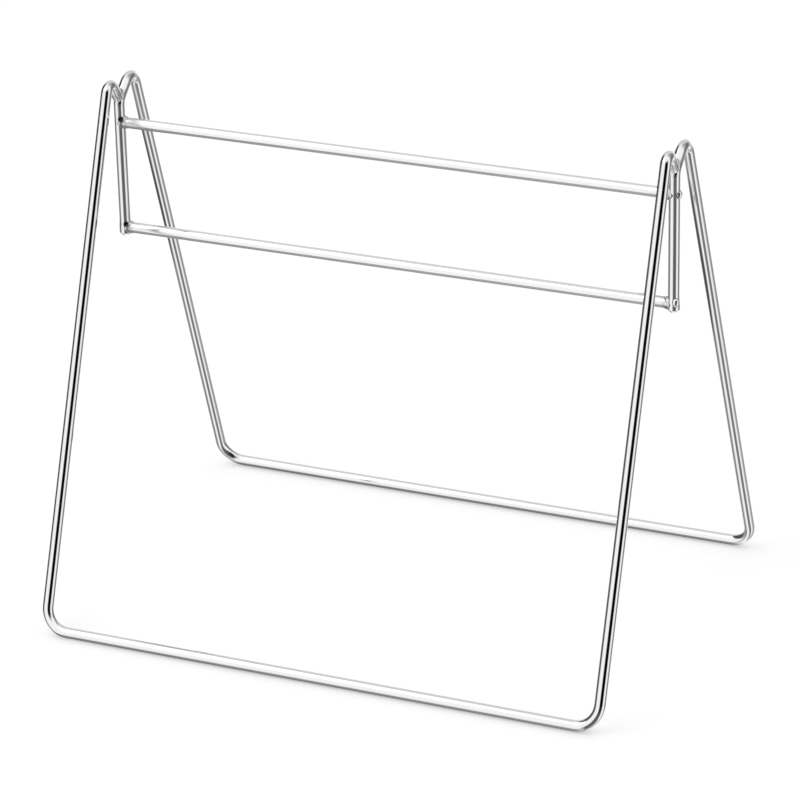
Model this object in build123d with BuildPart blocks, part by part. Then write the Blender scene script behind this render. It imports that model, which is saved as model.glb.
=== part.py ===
from build123d import *
from math import asin, atan2, cos, hypot, radians, sin, tan
import os

# A standing rack of bright steel wire: two leaning frames that hold a pair of rods.
# X runs along the rods, the front is at -Y, Z is up and Z = 0 is the table top.
# All sizes are in millimetres.

# Wire stock
wire_d = 4.0
rod_d = 3.9

# Overall shape
rack_height = 185.8
rear_top_drop = 1.4
foot_depth = 155.0
front_spread = 210.0
rear_spread = 216.0
post_spread = 209.0

# Bends, all to the centre line of the wire
corner_r = 8.5
front_bend_r = 3.0
rear_bend_r = 5.0
kink_r = 4.0

# Hairpins at the top of the legs
kink_drop = 9.3
front_arm_lean = 33.5
rear_arm_lean = 50.5
arm_seat = 1.2

# Posts, with slightly swollen and rounded tips
post_setback = 1.5
post_tail = 3.1
tip_swell = 0.2
tip_swell_run = 3.0
tip_round = 1.1

# Hanging rods
upper_rod_drop = 17.55
rod_pitch = 40.0

wire_r = wire_d / 2
rod_r = rod_d / 2
foot_y = foot_depth / 2
post_x = post_spread / 2
post_y = -post_setback
kink_z = rack_height - kink_drop
upper_rod_z = rack_height - upper_rod_drop
lower_rod_z = upper_rod_z - rod_pitch
post_end_z = lower_rod_z - post_tail
tip_top_z = lower_rod_z + tip_swell_run
tip_r = wire_r + tip_swell


def bend_corner(foot_reach, arm_lean, bend_r, top_z):
    """Reach from the post and height of the point where a leg and its arm would meet.

    The arm rises from the kink at its lean, the bend ends at top_z, and the leg is the
    straight line from the foot that runs into the bend.
    """
    centre_z = top_z - wire_r - bend_r
    centre_reach = (centre_z - kink_z) * tan(arm_lean) + bend_r / cos(arm_lean)
    run = foot_reach - centre_reach
    rise = centre_z - wire_r
    leg_lean = atan2(run, rise) - asin(bend_r / hypot(run, rise))
    leg_reach = foot_reach + wire_r * tan(leg_lean)
    corner_z = (leg_reach + kink_z * tan(arm_lean)) / (tan(leg_lean) + tan(arm_lean))
    return (corner_z - kink_z) * tan(arm_lean), corner_z


def both_ends(half):
    """The points of one half of a wire, and the same points mirrored, as one route."""
    return half + [(-x, y, z) for x, y, z in reversed(half)]


# Rear frame: foot bar, legs, hairpins and the two posts are one bent wire. The swollen tip
# is turned at the left post and mirrored, and the wire is swept from tip to tip.
rear_lean = radians(rear_arm_lean)
rear_reach, rear_corner_z = bend_corner(
    foot_y - post_y, rear_lean, rear_bend_r, rack_height - rear_top_drop
)
rear_route = both_ends(
    [
        (-post_x, post_y, tip_top_z),
        (-post_x, post_y, kink_z),
        (-post_x, post_y + rear_reach, rear_corner_z),
        (-rear_spread / 2, foot_y, wire_r),
    ]
)
with BuildPart() as rear_frame:
    with BuildSketch(Plane(origin=(-post_x, post_y, 0), x_dir=(1, 0, 0), z_dir=(0, -1, 0))):
        with BuildLine():
            Polyline(
                (0, post_end_z),
                (0, tip_top_z),
                (wire_r, tip_top_z),
                (tip_r, lower_rod_z),
                (tip_r, post_end_z + tip_round),
                (tip_r - tip_round, post_end_z),
                close=True,
            )
        make_face()
    revolve(axis=Axis((-post_x, post_y, 0), (0, 0, 1)))
    mirror(about=Plane.YZ)
    with BuildLine() as rear_line:
        FilletPolyline(
            *rear_route,
            radius=[kink_r, rear_bend_r, corner_r, corner_r, rear_bend_r, kink_r],
        )
    with BuildSketch(Plane(origin=rear_line.line @ 0, z_dir=rear_line.line % 0)):
        Circle(wire_r)
    sweep()
rear_frame.part.label = "rear_frame"

# Front frame: one bent wire whose tips are coped onto the kinks of the rear frame
front_lean = radians(front_arm_lean)
front_reach, front_corner_z = bend_corner(
    foot_y + post_y, front_lean, front_bend_r, rack_height
)
front_route = both_ends(
    [
        (-post_x, post_y - arm_seat * sin(front_lean), kink_z + arm_seat * cos(front_lean)),
        (-post_x, post_y - front_reach, front_corner_z),
        (-front_spread / 2, -foot_y, wire_r),
    ]
)
with BuildPart() as front_frame:
    with BuildLine() as front_line:
        FilletPolyline(
            *front_route,
            radius=[front_bend_r, corner_r, corner_r, front_bend_r],
        )
    with BuildSketch(Plane(origin=front_line.line @ 0, z_dir=front_line.line % 0)):
        Circle(wire_r)
    sweep()
    add(rear_frame.part, mode=Mode.SUBTRACT)
front_frame.part.label = "front_frame"

# Rods: plain bars whose ends are coped round the posts
with BuildPart() as upper_rod:
    with Locations((0, post_y, upper_rod_z)):
        Cylinder(rod_r, post_spread, rotation=(0, 90, 0))
    add(rear_frame.part, mode=Mode.SUBTRACT)
upper_rod.part.label = "upper_rod"

with BuildPart() as lower_rod:
    with Locations((0, post_y, lower_rod_z)):
        Cylinder(rod_r, post_spread, rotation=(0, 90, 0))
    add(rear_frame.part, mode=Mode.SUBTRACT)
lower_rod.part.label = "lower_rod"

os.makedirs("parts", exist_ok=True)
export_step(rear_frame.part, "parts/rear_frame.step")
export_step(front_frame.part, "parts/front_frame.step")
export_step(upper_rod.part, "parts/upper_rod.step")
export_step(lower_rod.part, "parts/lower_rod.step")
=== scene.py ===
from math import cos, radians, sin

import bpy
from mathutils import Matrix, Vector


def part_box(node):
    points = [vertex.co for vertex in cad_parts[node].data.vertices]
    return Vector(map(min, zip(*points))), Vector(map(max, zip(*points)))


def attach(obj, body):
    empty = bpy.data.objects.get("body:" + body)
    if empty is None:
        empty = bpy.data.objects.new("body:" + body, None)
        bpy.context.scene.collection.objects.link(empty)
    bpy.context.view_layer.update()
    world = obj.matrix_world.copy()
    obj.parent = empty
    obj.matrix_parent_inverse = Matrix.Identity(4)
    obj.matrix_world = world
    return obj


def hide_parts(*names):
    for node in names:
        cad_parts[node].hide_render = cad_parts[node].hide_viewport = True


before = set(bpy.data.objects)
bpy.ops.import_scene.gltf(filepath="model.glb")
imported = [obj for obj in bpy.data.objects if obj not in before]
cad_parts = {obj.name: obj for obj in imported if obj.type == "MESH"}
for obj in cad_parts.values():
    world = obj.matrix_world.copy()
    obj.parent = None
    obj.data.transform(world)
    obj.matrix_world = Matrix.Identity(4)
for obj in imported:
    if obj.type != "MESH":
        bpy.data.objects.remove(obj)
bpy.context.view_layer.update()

bl_info = {
    "name": "Tweezer Rack",
    "version": (1, 0, 0),
    "blender": (4, 5, 0),
    "location": "View3D > Sidebar > Rack",
    "description": "Finishes a rack of polished steel wire and sets up its studio",
    "category": "Object",
}

MM = 0.001
DEGREES_PER_RADIAN = 57.2958
BLACK = (0.0, 0.0, 0.0, 1.0)
WHITE = (1.0, 1.0, 1.0, 1.0)

# The post's centre line, its radius at each rod and the kink where the frames meet
POST_X = 104.5 * MM
POST_R = {"upper_rod": 2.0 * MM, "lower_rod": 2.2 * MM}
KINK = Vector((POST_X, -1.5 * MM, 176.5 * MM))

# The middle of the weld's stain on each frame, from the kink
FRONT_STAIN = Vector((0, -2.2, 3.2)) * MM
REAR_STAIN = Vector((0, 0.8, 1.6)) * MM

# Painted shade in the crease at a rod's left end, from where the rod meets the post's centre
# line
CREASE_SHADE = Vector((1.1, -1.5, 1.5)) * MM
CREASE_SHADE_DEPTH = 0.95

# Painted shade on the undersides: the height where it is darkest, the height where it ends, and
# how dark it gets. A frame's heights are over the table top, a rod's over its centre line.
FRAME_UNDERSIDE_SHADE = (1.1 * MM, 2.4 * MM, 0.72)
ROD_UNDERSIDE_SHADE = (-0.8 * MM, 0.0, 0.5)

# The noises in the metal: how fine each is, as Blender's scale per metre, and its detail
HAZE = (60.0, 3.0)
RIPPLE = (420.0, 1.0)
GRAIN = (2500.0, 2.0)
MOTTLE = (1300.0, 4.0)
WELD_MOTTLE = (1500.0, 4.0)

# The steel where the haze is strongest, as a share of its colour
HAZE_SHADE = 0.95

# The share of a spot's reach that has its full strength
SPOT_CORE = 0.55

# How deep the bumps are, and how much each noise counts in those of the steel
BUMP_STRENGTH = 0.5
STEEL_BUMPS = 0.03 * MM
WELD_BUMPS = 0.08 * MM
GRAIN_SHARE = 0.03
RIPPLE_SHARE = 0.12
WORKED_SHARE = 1.5

# The noises that shape the beads and the lumps of weld metal, and their seeds
BEAD_NOISE = (900.0, 1.0)
LUMP_NOISE = (700.0, 2.0)
WELD_SEEDS = {"rod": 3.0, "kink": 11.0}

# The detailed rods: how fine their meshes are, and how much thinner their ends get inside
# the posts
ROD_SIDES = 48
ROD_RINGS = 600
HIDDEN_TAPER = 0.15

# The nubs on the right post: how far they sit round from the front and over their rod, and
# how uneven they are next to the other weld metal
NUB_TURN = {"upper_rod": radians(82), "lower_rod": radians(43)}
NUB_RISE = {"upper_rod": 0.0, "lower_rod": 1.0 * MM}
NUB_LUMPS = 0.2

# Painted shade in the crease round a nub, where it meets the post: it ends between these
# distances from the post's centre line
CREASE_SHADE_END = (2.05 * MM, 2.4 * MM)
CREASE_SHADE_COLOUR = (0.02, 0.02, 0.02, 1.0)

# The floor's half width in metres, and the share of its colour that it gives off by itself
FLOOR_HALF = 6.0
FLOOR_GLOW = 0.45

# The dark cards, one to the left of each rear leg: the legs' distance from the middle, how
# far a card stands from its leg, its half sizes, its place and its darkness. The last two
# are the shares of a half size that are fully dark and that fade out.
REAR_LEG_X = 107.0 * MM
CARD_REACH = 20.0 * MM
CARD_HALF_WIDTH = 24.0 * MM
CARD_HALF_HEIGHT = 46.0 * MM
CARD_BACK = 31.0 * MM
CARD_HEIGHT = 118.0 * MM
CARD_DEPTH = 0.7
CARD_FULL = 0.55
CARD_FADE = 0.4

# The white surround's brightness in reflections
STUDIO_LIGHT = 1.06

# The soft lamp: its place and width in metres, and its power in watts
LAMP_PLACE = Vector((-0.9, -0.8, 1.6))
LAMP_WIDTH = 1.2
LAMP_POWER = 6.0


class Sock:
    """A node's output socket. Arithmetic on it adds Math nodes to the same tree."""

    def __init__(self, tree, out=None):
        self.tree = tree
        self.out = out

    def node(self, kind, settings=None, values=None, output=0):
        """A new node of this kind: its settings are set first, then its sockets."""
        made = self.tree.nodes.new(kind)
        for name, value in (settings or {}).items():
            setattr(made, name, value)
        self.feed(made, values or {})
        return Sock(self.tree, made.outputs[output])

    def feed(self, made, values):
        """Links or sets a node's input sockets."""
        for name, value in values.items():
            if isinstance(value, Sock):
                self.tree.links.new(value.out, made.inputs[name])
            else:
                made.inputs[name].default_value = value

    def math(self, operation, *values):
        """One Math node on this tree."""
        return self.node("ShaderNodeMath", {"operation": operation}, dict(enumerate(values)))

    def __add__(self, other):
        return self.math("ADD", self, other)

    def __radd__(self, other):
        return self.math("ADD", other, self)

    def __sub__(self, other):
        return self.math("SUBTRACT", self, other)

    def __rsub__(self, other):
        return self.math("SUBTRACT", other, self)

    def __mul__(self, other):
        return self.math("MULTIPLY", self, other)

    def __rmul__(self, other):
        return self.math("MULTIPLY", other, self)

    def __truediv__(self, other):
        return self.math("DIVIDE", self, other)

    def __abs__(self):
        return self.math("ABSOLUTE", self)

    def __neg__(self):
        return self.math("MULTIPLY", self, -1.0)

    def smooth(self, low, high):
        """0 below low and 1 above high, with a smooth rise between them."""
        return self.node(
            "ShaderNodeMapRange",
            {"interpolation_type": "SMOOTHSTEP"},
            {"Value": self, "From Min": low, "From Max": high},
        )

    def band(self, centre, half_width, softness):
        """1 within half_width of centre, falling smoothly to 0 over the softness."""
        return 1 - abs(self - centre).smooth(half_width, half_width + softness)

    def split(self):
        """The X, Y and Z of this vector."""
        first = self.node("ShaderNodeSeparateXYZ", None, {"Vector": self})
        return [Sock(self.tree, out) for out in first.out.node.outputs]

    def join(self, x, y, z):
        """One vector from three values."""
        return self.node("ShaderNodeCombineXYZ", None, {"X": x, "Y": y, "Z": z})

    def vector(self, operation, *values, output=0):
        """One Vector Math node on this tree."""
        sockets = dict(enumerate(values))
        return self.node("ShaderNodeVectorMath", {"operation": operation}, sockets, output)

    def noise(self, kind, seed=None):
        """Noise at this place. Its kind says how fine it is, and its detail."""
        fineness, detail = kind
        values = {"Vector": self, "Scale": fineness, "Detail": detail}
        if seed is None:
            return self.node("ShaderNodeTexNoise", None, values)
        values["W"] = seed
        return self.node("ShaderNodeTexNoise", {"noise_dimensions": "4D"}, values)

    def blend(self, first, second):
        """A colour that goes from the first to the second as this value goes from 0 to 1."""
        # Sockets 6 and 7 are the node's colour inputs, and 2 is its colour output
        values = {"Factor": self, 6: first, 7: second}
        return self.node("ShaderNodeMix", {"data_type": "RGBA"}, values, output=2)

    def bump(self, distance):
        """A surface normal that follows this height, which is in shares of the distance."""
        values = {"Strength": BUMP_STRENGTH, "Distance": distance, "Height": self}
        return self.node("ShaderNodeBump", None, values)


class WireFinish(bpy.types.PropertyGroup):
    """How the polished wire and rods look."""

    wire_colour: bpy.props.FloatVectorProperty(
        name="Wire colour", description="Colour of the polished wire",
        subtype="COLOR", size=4, min=0.0, max=1.0, default=(0.86, 0.86, 0.865, 1.0),
    )
    rod_colour: bpy.props.FloatVectorProperty(
        name="Rod colour", description="Colour of the polished rods",
        subtype="COLOR", size=4, min=0.0, max=1.0, default=(0.88, 0.88, 0.88, 1.0),
    )
    polish: bpy.props.FloatProperty(
        name="Polish", description="Roughness of the polished metal",
        subtype="FACTOR", min=0.0, max=1.0, default=0.06,
    )
    rod_polish: bpy.props.FloatProperty(
        name="Rod polish", description="Roughness of the rods, which are less bright",
        subtype="FACTOR", min=0.0, max=1.0, default=0.11,
    )
    weld_colour: bpy.props.FloatVectorProperty(
        name="Weld colour", description="Colour of the brushed metal round the welds",
        subtype="COLOR", size=4, min=0.0, max=1.0, default=(0.52, 0.52, 0.53, 1.0),
    )
    weld_reach: bpy.props.FloatProperty(
        name="Weld reach", description="How far the dull metal goes round a weld",
        subtype="DISTANCE", unit="LENGTH", min=0.0, default=3.0 * MM,
    )
    brushed_rod: bpy.props.FloatProperty(
        name="Brushed rod", description="How far the rods are brushed dull from their ends",
        subtype="DISTANCE", unit="LENGTH", min=0.0, default=9.0 * MM,
    )
    # Painted shade: how far the dark spot in the crease at a rod's left end reaches
    crease_shade_reach: bpy.props.FloatProperty(
        name="Crease shade reach", description="How far the painted shade reaches round the crease at a rod's left end",
        subtype="DISTANCE", unit="LENGTH", min=0.0, default=1.4 * MM,
    )


class WeldShape(bpy.types.PropertyGroup):
    """The weld metal at the joints."""

    bead_leg: bpy.props.FloatProperty(
        name="Bead height", description="How far a rod's weld bead stands off the rod",
        subtype="DISTANCE", unit="LENGTH", min=0.0, default=0.42 * MM,
    )
    bead_run: bpy.props.FloatProperty(
        name="Bead length", description="How far a rod's weld bead runs along the rod",
        subtype="DISTANCE", unit="LENGTH", min=0.0, default=1.9 * MM,
    )
    puddle_size: bpy.props.FloatVectorProperty(
        name="Puddle size", description="Half sizes of the weld metal between the hairpins",
        subtype="XYZ", unit="LENGTH", default=(1.5 * MM, 1.7 * MM, 1.6 * MM),
    )
    puddle_rise: bpy.props.FloatProperty(
        name="Puddle rise", description="Height of that metal's centre over the kink",
        subtype="DISTANCE", unit="LENGTH", default=3.0 * MM,
    )
    nub_size: bpy.props.FloatVectorProperty(
        name="Nub size", description="Half sizes of the nubs on the right post",
        subtype="XYZ", unit="LENGTH", default=(1.35 * MM, 1.35 * MM, 1.75 * MM),
    )
    nub_seat: bpy.props.FloatProperty(
        name="Nub seat", description="Distance of a nub's centre from the post's centre line",
        subtype="DISTANCE", unit="LENGTH", min=0.0, default=1.55 * MM,
    )
    lumps: bpy.props.FloatProperty(
        name="Lumps", description="How uneven the weld metal is",
        subtype="DISTANCE", unit="LENGTH", min=0.0, default=0.5 * MM,
    )


class Studio(bpy.types.PropertyGroup):
    """The camera and the floor."""

    azimuth: bpy.props.FloatProperty(
        name="Azimuth", description="Camera angle round the rack, from its front to its right",
        subtype="ANGLE", default=radians(23.677),
    )
    elevation: bpy.props.FloatProperty(
        name="Elevation", description="Camera angle above the table top",
        subtype="ANGLE", default=radians(23.941),
    )
    roll: bpy.props.FloatProperty(
        name="Roll", description="Camera roll about its line of sight",
        subtype="ANGLE", default=radians(-1.319),
    )
    station: bpy.props.FloatVectorProperty(
        name="Station", description="Where the camera stands",
        subtype="TRANSLATION", unit="LENGTH", default=(0.5254, -1.1956, 0.6552),
    )
    lens: bpy.props.FloatProperty(
        name="Lens", description="Focal length for a 36 mm sensor",
        subtype="DISTANCE_CAMERA", default=180.51,
    )
    floor_colour: bpy.props.FloatVectorProperty(
        name="Floor colour", description="Colour of the table top",
        subtype="COLOR", size=4, min=0.0, max=1.0, default=(0.975, 0.975, 0.975, 1.0),
    )


def new_paint(name):
    """A new material, its shader node and a socket on its tree."""
    made = bpy.data.materials.new(name)
    made.use_nodes = True
    return made, made.node_tree.nodes["Principled BSDF"], Sock(made.node_tree)


def near(s, place, spot, reach):
    """1 round this spot, falling smoothly to 0 at the reach."""
    away = s.vector("DISTANCE", place, spot, output="Value")
    return 1 - away.smooth(reach * SPOT_CORE, reach)


def steel(name, colour, polish, look, weld_spot, brushed, crease_shade_spots, underside_shade):
    """Bright drawn steel with a faint haze, stained round a weld on either side.

    It is brushed dull as far from the weld as brushed says, and has painted shade round the
    spots it is given, in the creases where the rods meet the posts. Its last argument gives
    painted shade
    on the undersides: a height below which it is darkest, a height above which there is none,
    and how dark it gets.
    """
    made, shader, s = new_paint(name)
    place = s.node("ShaderNodeTexCoord", output="Object")
    haze, ripple = place.noise(HAZE), place.noise(RIPPLE)
    grain, mottle = place.noise(GRAIN), place.noise(MOTTLE)
    x, y, z = place.split()
    folded = s.join(abs(x), y, z)
    worked = near(s, folded, weld_spot, look.weld_reach)
    dull = near(s, folded, weld_spot, brushed)
    darkest, shade_end, depth = underside_shade
    # Painted shade: darker on the undersides
    dark = depth * (1 - z.smooth(darkest, shade_end))
    # Painted shade round each spot in the crease where a rod meets the left post
    for spot in crease_shade_spots:
        dark = s.math("MAXIMUM", dark, near(s, place, spot, look.crease_shade_reach) * CREASE_SHADE_DEPTH)
    stain = worked * mottle.smooth(0.25, 0.6)
    hazed = haze.blend(colour, [channel * HAZE_SHADE for channel in colour[:3]] + [1.0])
    stained = stain.blend(hazed, look.weld_colour)
    height = grain * GRAIN_SHARE + ripple * RIPPLE_SHARE + mottle * worked * WORKED_SHARE
    # 0.7 to 1.3 times as rough as the polish says, and 0.1 to 0.3 rougher where brushed
    rough = polish * (0.7 + haze * 0.6) + dull * (0.1 + mottle * 0.2)
    s.feed(shader, {
        "Base Color": dark.blend(stained, BLACK),
        "Roughness": rough,
        "Metallic": 1.0,
        "Normal": height.bump(STEEL_BUMPS),
    })
    return made


def weld_metal(name, look):
    """Cooled weld metal: dull, darker and mottled."""
    made, shader, s = new_paint(name)
    mottle = s.node("ShaderNodeTexCoord", output="Object").noise(WELD_MOTTLE)
    s.feed(shader, {
        "Base Color": mottle.smooth(0.38, 0.6).blend(look.wire_colour, look.weld_colour),
        "Roughness": 0.2 + mottle * 0.3,
        "Metallic": 1.0,
        "Normal": mottle.bump(WELD_BUMPS),
    })
    return made


def nub_metal(name, look):
    """Polished metal with painted shade in the crease where it meets the post."""
    made, shader, s = new_paint(name)
    x, y = s.node("ShaderNodeTexCoord", output="Object").split()[:2]
    off_axis = s.vector("LENGTH", s.join(x - POST_X, y - KINK.y, 0.0), output="Value")
    # Painted shade: dark near the post, in the crease round the nub
    s.feed(shader, {
        "Base Color": off_axis.smooth(*CREASE_SHADE_END).blend(CREASE_SHADE_COLOUR, look.wire_colour),
        "Roughness": look.rod_polish,
        "Metallic": 1.0,
    })
    return made


def set_material(obj, material):
    """The object shows this material and no other."""
    obj.data.materials.clear()
    obj.data.materials.append(material)


def add_object(name, data):
    """A new object in the scene, at the origin."""
    made = bpy.data.objects.new(name, data)
    bpy.context.scene.collection.objects.link(made)
    return made


def open_tree(name, inputs):
    """An empty geometry tree with these named inputs: a socket on it, and one for each."""
    tree = bpy.data.node_groups.new(name, "GeometryNodeTree")
    for title, kind in inputs.items():
        tree.interface.new_socket(name=title, in_out="INPUT", socket_type="NodeSocket" + kind)
    tree.interface.new_socket(name="Geometry", in_out="OUTPUT", socket_type="NodeSocketGeometry")
    entry = tree.nodes.new("NodeGroupInput")
    return Sock(tree), {title: Sock(tree, entry.outputs[title]) for title in inputs}


def close_tree(s, geometry, material):
    """Ends the tree with smooth shading, Realize Instances and Set Material."""
    smooth = s.node("GeometryNodeSetShadeSmooth", None, {"Geometry": geometry})
    real = s.node("GeometryNodeRealizeInstances", None, {"Geometry": smooth})
    done = s.node("GeometryNodeSetMaterial", None, {"Geometry": real, "Material": material})
    s.feed(s.tree.nodes.new("NodeGroupOutput"), {"Geometry": done})
    return s.tree


def grow(name, tree, values):
    """The piece that a geometry tree makes from these inputs, as a plain mesh."""
    piece = add_object(name, bpy.data.meshes.new(name))
    shape = piece.modifiers.new("shape", "NODES")
    shape.node_group = tree
    for item in tree.interface.items_tree:
        if item.in_out == "INPUT":
            shape[item.identifier] = values[item.name]
    grown = piece.evaluated_get(bpy.context.evaluated_depsgraph_get())
    mesh = bpy.data.meshes.new_from_object(grown)
    piece.modifiers.remove(shape)
    piece.data = mesh
    mesh.name = name
    if not mesh.polygons:
        raise RuntimeError(f"{name} came out empty")
    return piece


def rod_tree():
    """A straight rod whose ends swell into weld beads that follow the round posts."""
    s, given = open_tree("welded_rod", {
        "Radius": "Float", "Post Radius": "Float", "Post Distance": "Float",
        "Bead Height": "Float", "Bead Length": "Float", "Lumps": "Float", "Seed": "Float",
        "Centre": "Vector", "Material": "Material",
    })
    radius, post_r = given["Radius"], given["Post Radius"]
    # Each end goes on a little past its post's centre line, and thins out where it is hidden
    lap = post_r * 0.6
    bar = s.node("GeometryNodeMeshCylinder", {"fill_type": "NGON"}, {
        "Vertices": ROD_SIDES, "Side Segments": ROD_RINGS, "Radius": radius,
        "Depth": (given["Post Distance"] + lap * 0.7) * 2,
    })
    position = s.node("GeometryNodeInputPosition")
    across, up, along = position.split()
    seam = given["Post Distance"] - s.math("SQRT", post_r * post_r - across * across)
    gap = seam - abs(along)
    crest = 1 - gap.smooth(0.0, given["Bead Length"])
    buried = 1 - gap.smooth(-lap, -lap * 0.1)
    lump = position.noise(BEAD_NOISE, given["Seed"])
    height = given["Bead Height"] + (lump - 0.5) * given["Lumps"]
    grown = 1 + (height * crest * crest * (1 - buried)) / radius - buried * HIDDEN_TAPER
    place = s.vector("ADD", s.join(along, across * grown, up * grown), given["Centre"])
    moved = s.node("GeometryNodeSetPosition", None, {"Geometry": bar, "Position": place})
    return close_tree(s, moved, given["Material"])


def lump_tree():
    """A lump of weld metal at each of two places."""
    s, given = open_tree("weld_lumps", {
        "First": "Vector", "Second": "Vector", "Size": "Vector",
        "Lumps": "Float", "Seed": "Float", "Material": "Material",
    })
    # With this mode the Offset socket holds the line's other end
    ends = s.node("GeometryNodeMeshLine", {"mode": "END_POINTS"}, {
        "Count": 2, "Start Location": given["First"], "Offset": given["Second"],
    })
    ball = s.node("GeometryNodeMeshIcoSphere", None, {"Radius": 1.0, "Subdivisions": 5})
    drop = s.node("GeometryNodeInstanceOnPoints", None, {
        "Points": ends, "Instance": ball, "Scale": given["Size"],
    })
    whole = s.node("GeometryNodeRealizeInstances", None, {"Geometry": drop})
    lump = s.node("GeometryNodeInputPosition").noise(LUMP_NOISE, given["Seed"])
    out = s.node("ShaderNodeVectorMath", {"operation": "SCALE"}, {
        0: s.node("GeometryNodeInputNormal"), "Scale": (lump - 0.5) * given["Lumps"],
    })
    moved = s.node("GeometryNodeSetPosition", None, {"Geometry": whole, "Offset": out})
    return close_tree(s, moved, given["Material"])


def joint(rod, side):
    """Where this rod meets a post's centre line: side is -1 on the left, 1 on the right."""
    low, high = (Vector(corner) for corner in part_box(rod))
    return Vector((side * POST_X, (low.y + high.y) / 2, (low.z + high.z) / 2))


def nub_place(rod, seat):
    """The centre of the nub at this rod, its seat away from the right post's centre line."""
    turn = NUB_TURN[rod]
    return joint(rod, 1) + Vector((sin(turn) * seat, -cos(turn) * seat, NUB_RISE[rod]))


class RACK_OT_frames(bpy.types.Operator):
    """Gives the front and rear frames their polished wire"""

    bl_idname = "rack.frames"
    bl_label = "Frames"

    def execute(self, context):
        look = context.scene.rack_finish
        # Painted shade in the creases where the rods meet the left post
        shaded_creases = [joint(rod, -1) + CREASE_SHADE for rod in POST_R]
        for name, stain, spots in (
            ("front_frame", FRONT_STAIN, []),
            ("rear_frame", REAR_STAIN, shaded_creases),
        ):
            # The wire has painted shade on the undersides of its foot bars
            wire = steel(
                "polished_" + name, look.wire_colour, look.polish, look,
                weld_spot=KINK + stain, brushed=look.weld_reach,
                crease_shade_spots=spots, underside_shade=FRAME_UNDERSIDE_SHADE,
            )
            set_material(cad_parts[name], wire)
        return {"FINISHED"}


class RACK_OT_rods(bpy.types.Operator):
    """Makes the two hanging rods with their weld beads"""

    bl_idname = "rack.rods"
    bl_label = "Rods"

    def execute(self, context):
        look, welds = context.scene.rack_finish, context.scene.rack_welds
        tree = rod_tree()
        darkest, shade_end, depth = ROD_UNDERSIDE_SHADE
        for name, post_r in POST_R.items():
            low, high = (Vector(corner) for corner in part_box(name))
            left, right = joint(name, -1), joint(name, 1)
            # The rod's steel has painted shade on its underside and in the crease at its left
            # end
            bright = steel(
                "polished_" + name, look.rod_colour, look.rod_polish, look,
                weld_spot=right - Vector((post_r, 0, 0)), brushed=look.brushed_rod,
                crease_shade_spots=[left + CREASE_SHADE],
                underside_shade=(right.z + darkest, right.z + shade_end, depth),
            )
            rod = grow(name + "_bar", tree, {
                "Radius": (high.z - low.z) / 2, "Post Radius": post_r,
                "Post Distance": POST_X, "Bead Height": welds.bead_leg,
                "Bead Length": welds.bead_run, "Lumps": welds.lumps,
                "Seed": WELD_SEEDS["rod"], "Centre": (low + high) / 2, "Material": bright,
            })
            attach(rod, "root")
            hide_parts(name)
        return {"FINISHED"}


class RACK_OT_welds(bpy.types.Operator):
    """Adds the weld metal between the hairpins and the nubs on the right post"""

    bl_idname = "rack.welds"
    bl_label = "Welds"

    def execute(self, context):
        look, welds = context.scene.rack_finish, context.scene.rack_welds
        tree = lump_tree()
        notch = KINK + Vector((0, 0, welds.puddle_rise))
        puddles = grow("hairpin_welds", tree, {
            "First": notch, "Second": Vector((-notch.x, notch.y, notch.z)),
            "Size": welds.puddle_size, "Lumps": welds.lumps, "Seed": WELD_SEEDS["kink"],
            "Material": weld_metal("weld_metal", look),
        })
        nubs = grow("post_nubs", tree, {
            "First": nub_place("upper_rod", welds.nub_seat),
            "Second": nub_place("lower_rod", welds.nub_seat),
            "Size": welds.nub_size, "Lumps": welds.lumps * NUB_LUMPS,
            "Seed": WELD_SEEDS["rod"], "Material": nub_metal("nub_metal", look),
        })
        for piece in (puddles, nubs):
            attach(piece, "root")
        return {"FINISHED"}


class RACK_OT_stage(bpy.types.Operator):
    """Makes the floor, the dark cards, the studio's light, the lamp and the camera"""

    bl_idname = "rack.stage"
    bl_label = "Studio"

    def execute(self, context):
        studio = context.scene.rack_studio
        lay_floor(studio.floor_colour)
        for name, side in (("left_card", -1), ("right_card", 1)):
            stand_card(name, side * REAR_LEG_X - CARD_REACH)
        paint_studio(context.scene)
        hang_lamp()
        place_camera(context.scene, studio)
        context.scene.view_settings.view_transform = "Standard"
        return {"FINISHED"}


def add_sheet(name, corners):
    """A flat sheet with these four corners."""
    mesh = bpy.data.meshes.new(name)
    mesh.from_pydata(corners, [], [(0, 1, 2, 3)])
    return add_object(name, mesh)


def new_matte(name, colour):
    """A new material without gloss, its shader node and a socket on its tree."""
    made, shader, s = new_paint(name)
    s.feed(shader, {"Base Color": colour, "Roughness": 1.0, "Specular IOR Level": 0.0})
    return made, shader, s


def lay_floor(colour):
    """A wide pale floor that keeps the rack's shadow."""
    h = FLOOR_HALF
    floor = add_sheet("floor", [(-h, -h, 0), (h, -h, 0), (h, h, 0), (-h, h, 0)])
    dimmed = [channel * (1 - FLOOR_GLOW) for channel in colour[:3]] + [1.0]
    paint, shader, s = new_matte("floor_paint", dimmed)
    s.feed(shader, {"Emission Color": colour, "Emission Strength": FLOOR_GLOW})
    set_material(floor, paint)
    floor.visible_glossy = False


def stand_card(name, across):
    """A soft-edged dark card, left of a rear leg, that shows only in the polished metal."""
    w, h = CARD_HALF_WIDTH, CARD_HALF_HEIGHT
    card = add_sheet(name, [(0, -w, -h), (0, w, -h), (0, w, h), (0, -w, h)])
    card.location = (across, CARD_BACK, CARD_HEIGHT)
    paint, shader, s = new_matte(name + "_paint", BLACK)
    y, z = s.node("ShaderNodeTexCoord", output="Object").split()[1:]
    sideways = y.band(0.0, w * CARD_FULL, w * CARD_FADE)
    upwards = z.band(0.0, h * CARD_FULL, h * CARD_FADE)
    s.feed(shader, {"Alpha": sideways * upwards * CARD_DEPTH})
    set_material(card, paint)
    card.visible_camera = False
    card.visible_diffuse = False
    card.visible_shadow = False


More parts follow.
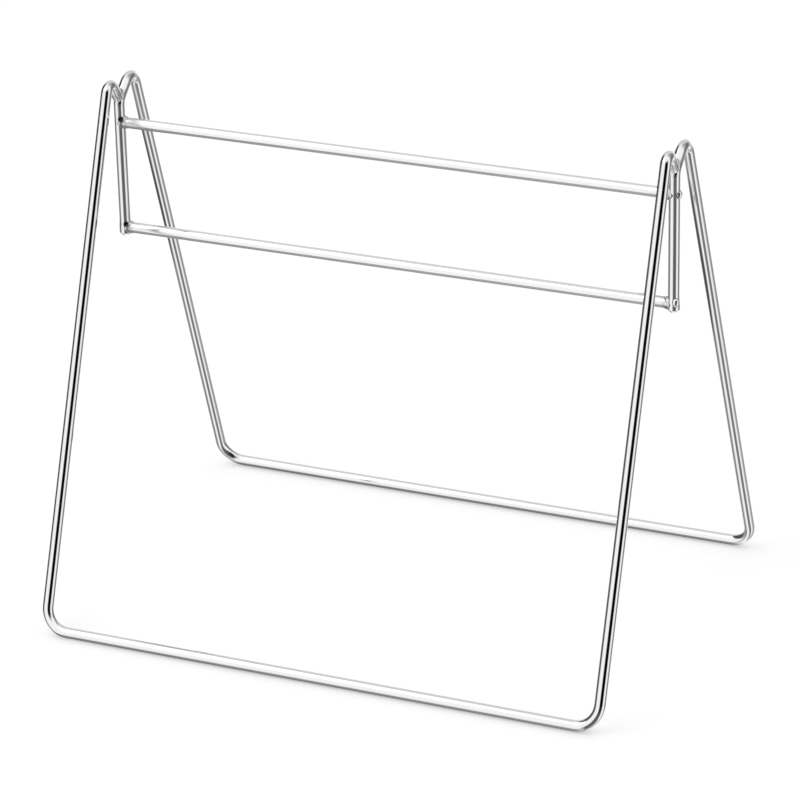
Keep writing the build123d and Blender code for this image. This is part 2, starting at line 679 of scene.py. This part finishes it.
def paint_studio(scene):
    """A white studio whose soft grey flags draw the dark lines along polished wire.

    Each flag takes away a share of the light from some directions, in reflections only.
    """
    world = bpy.data.worlds.new("studio")
    scene.world = world
    world.use_nodes = True
    s = Sock(world.node_tree)
    x, y, z = s.node("ShaderNodeTexCoord", output="Generated").split()
    # Degrees round from the front towards the right, and degrees above the horizon
    turn = s.math("ARCTAN2", x, -y) * DEGREES_PER_RADIAN
    rise = s.math("ARCSINE", z) * DEGREES_PER_RADIAN
    low = 1 - rise.smooth(-20.0, 5.0)
    steep = 1 - rise.smooth(-58.0, -35.0)
    # The black flag on the right of the front. Just below the horizon it stands nearer to
    # the front, and far below it further round again.
    core = turn.band(
        centre=40.0 - 10.0 * low + 14.0 * steep, half_width=21.0 + 3.0 * low, softness=18.0,
    )
    core = core * (1 - rise.smooth(30.0, 55.0)) * (1 - 0.13 * low - 0.07 * steep)
    # The grey flag on the left, paler lower down
    left = turn.band(centre=-92.0, half_width=20.0, softness=24.0)
    left = left * (0.48 + 0.45 * rise.smooth(-50.0, -2.0)) * (1 - rise.smooth(42.0, 60.0))
    # The grey flag on the right of the back, paler low down and high up
    right = turn.band(centre=132.0, half_width=14.0, softness=24.0)
    right = right * (0.58 + 0.20 * rise.smooth(-36.0, -22.0))
    right = right * (1 - 0.42 * rise.smooth(15.0, 45.0))
    # The pale flag across the back, above the horizon
    back = abs(turn).smooth(112.0, 138.0) * rise.smooth(-5.0, 15.0) * 0.32
    back = back * (1 - rise.smooth(62.0, 75.0))
    # The narrow strip far below the horizon, all along the left half
    under = rise.band(centre=-47.0, half_width=4.0, softness=9.0) * 0.52
    under = under * (1 - turn.smooth(0.0, 40.0))
    light = STUDIO_LIGHT * (1 - core) * (1 - left) * (1 - right) * (1 - back) * (1 - under)
    glossy = s.node("ShaderNodeLightPath", output="Is Glossy Ray")
    background = world.node_tree.nodes["Background"]
    s.feed(background, {"Color": WHITE, "Strength": 1 + glossy * (light - 1)})


def hang_lamp():
    """A wide soft lamp over the left shoulder of the camera."""
    lamp = bpy.data.lights.new("softbox", "AREA")
    lamp.shape = "SQUARE"
    lamp.size = LAMP_WIDTH
    lamp.energy = LAMP_POWER
    lamp.specular_factor = 0.0
    softbox = add_object("softbox", lamp)
    softbox.location = LAMP_PLACE
    softbox.rotation_mode = "QUATERNION"
    softbox.rotation_quaternion = (-LAMP_PLACE).to_track_quat("-Z", "Y")


def place_camera(scene, studio):
    """The camera at the photograph's angle, with its roll."""
    a, e, roll = studio.azimuth, studio.elevation, studio.roll
    forward = Vector((-sin(a) * cos(e), cos(a) * cos(e), -sin(e)))
    level = Vector((cos(a), sin(a), 0.0))
    upright = level.cross(forward)
    side = level * cos(roll) + upright * sin(roll)
    top = upright * cos(roll) - level * sin(roll)
    turn = Matrix((side, top, -forward)).transposed()
    lens = bpy.data.cameras.new("camera")
    lens.sensor_width = 36.0
    lens.lens = studio.lens
    lens.clip_start = 0.01
    lens.clip_end = 50.0
    camera = add_object("camera", lens)
    camera.matrix_world = Matrix.Translation(studio.station) @ turn.to_4x4()
    scene.camera = camera


class RACK_PT_panel(bpy.types.Panel):
    """Lists the rack's pieces and its settings"""

    bl_idname = "RACK_PT_panel"
    bl_label = "Tweezer rack"
    bl_space_type = "VIEW_3D"
    bl_region_type = "UI"
    bl_category = "Rack"

    def draw(self, context):
        column = self.layout.column()
        scene = context.scene
        for group in (scene.rack_finish, scene.rack_welds, scene.rack_studio):
            for name in group.__annotations__:
                column.prop(group, name)
        for operator in OPERATORS:
            column.operator(operator.bl_idname)


OPERATORS = (RACK_OT_frames, RACK_OT_rods, RACK_OT_welds, RACK_OT_stage)
CLASSES = (WireFinish, WeldShape, Studio, *OPERATORS, RACK_PT_panel)


def register():
    """Adds the settings, the operators and the panel to Blender."""
    for item in CLASSES:
        bpy.utils.register_class(item)
    bpy.types.Scene.rack_finish = bpy.props.PointerProperty(type=WireFinish)
    bpy.types.Scene.rack_welds = bpy.props.PointerProperty(type=WeldShape)
    bpy.types.Scene.rack_studio = bpy.props.PointerProperty(type=Studio)


def unregister():
    """Takes them out again."""
    del bpy.types.Scene.rack_studio
    del bpy.types.Scene.rack_welds
    del bpy.types.Scene.rack_finish
    for item in reversed(CLASSES):
        bpy.utils.unregister_class(item)


def main():
    register()
    bpy.ops.rack.frames()
    bpy.ops.rack.rods()
    bpy.ops.rack.welds()
    bpy.ops.rack.stage()


if __name__ == "__main__":
    main()
